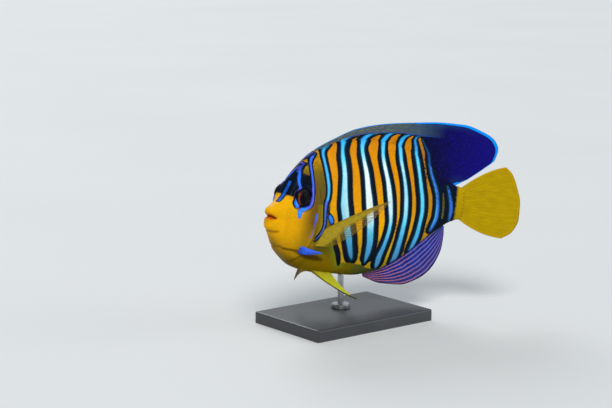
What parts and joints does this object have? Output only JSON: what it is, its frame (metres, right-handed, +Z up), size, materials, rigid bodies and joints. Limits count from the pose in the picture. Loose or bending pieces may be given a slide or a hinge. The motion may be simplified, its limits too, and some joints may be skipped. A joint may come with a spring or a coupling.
{
  "type": "regal angelfish",
  "caption": "Still display model of a regal angelfish turning on a low stand, with ray-ridged fins, parted lips and cheek spines.",
  "frame": {"origin": "centre of the underside of the stand's base", "axes": "+Z up; -X towards the snout, +X towards the tail; -Y the side of the fish's left flank"},
  "size_m": [0.193, 0.0932, 0.1348],
  "materials": {
    "head_skin": "golden skin with dark brow and blue lines",
    "torso_skin": "scaled skin with blue-white, black-edged and orange bars",
    "tail_stalk_skin": "scaled skin, dark with a blue bar, yellow behind",
    "eye_L_surface": "glossy dark eye with an orange ring",
    "eye_R_surface": "glossy dark eye with an orange ring",
    "dorsal_fin_spiny_skin": "olive membrane with a thin blue margin",
    "dorsal_fin_soft_skin": "deep blue membrane with fine dots and an azure margin",
    "anal_fin_skin": "violet-blue membrane with orange lines",
    "caudal_fin_skin": "mustard yellow membrane with fine rays",
    "pectoral_fin_L_skin": "thin translucent mustard membrane",
    "pectoral_fin_R_skin": "thin translucent mustard membrane",
    "pelvic_fin_L_skin": "yellow-green membrane with a bluish leading edge",
    "pelvic_fin_R_skin": "yellow-green membrane with a bluish leading edge",
    "stand_base_paint": "painted dark, satin",
    "stand_rod_steel": "brushed"
  },
  "bodies": {
    "root": {"head": "head_skin", "torso": "torso_skin", "tail_stalk": "tail_stalk_skin", "eye_L": "eye_L_surface", "eye_R": "eye_R_surface", "dorsal_fin_spiny": "dorsal_fin_spiny_skin", "dorsal_fin_soft": "dorsal_fin_soft_skin", "anal_fin": "anal_fin_skin", "caudal_fin": "caudal_fin_skin", "pectoral_fin_L": "pectoral_fin_L_skin", "pectoral_fin_R": "pectoral_fin_R_skin", "pelvic_fin_L": "pelvic_fin_L_skin", "pelvic_fin_R": "pelvic_fin_R_skin", "stand_base": "stand_base_paint", "stand_rod": "stand_rod_steel"}
  },
  "joints": []
}
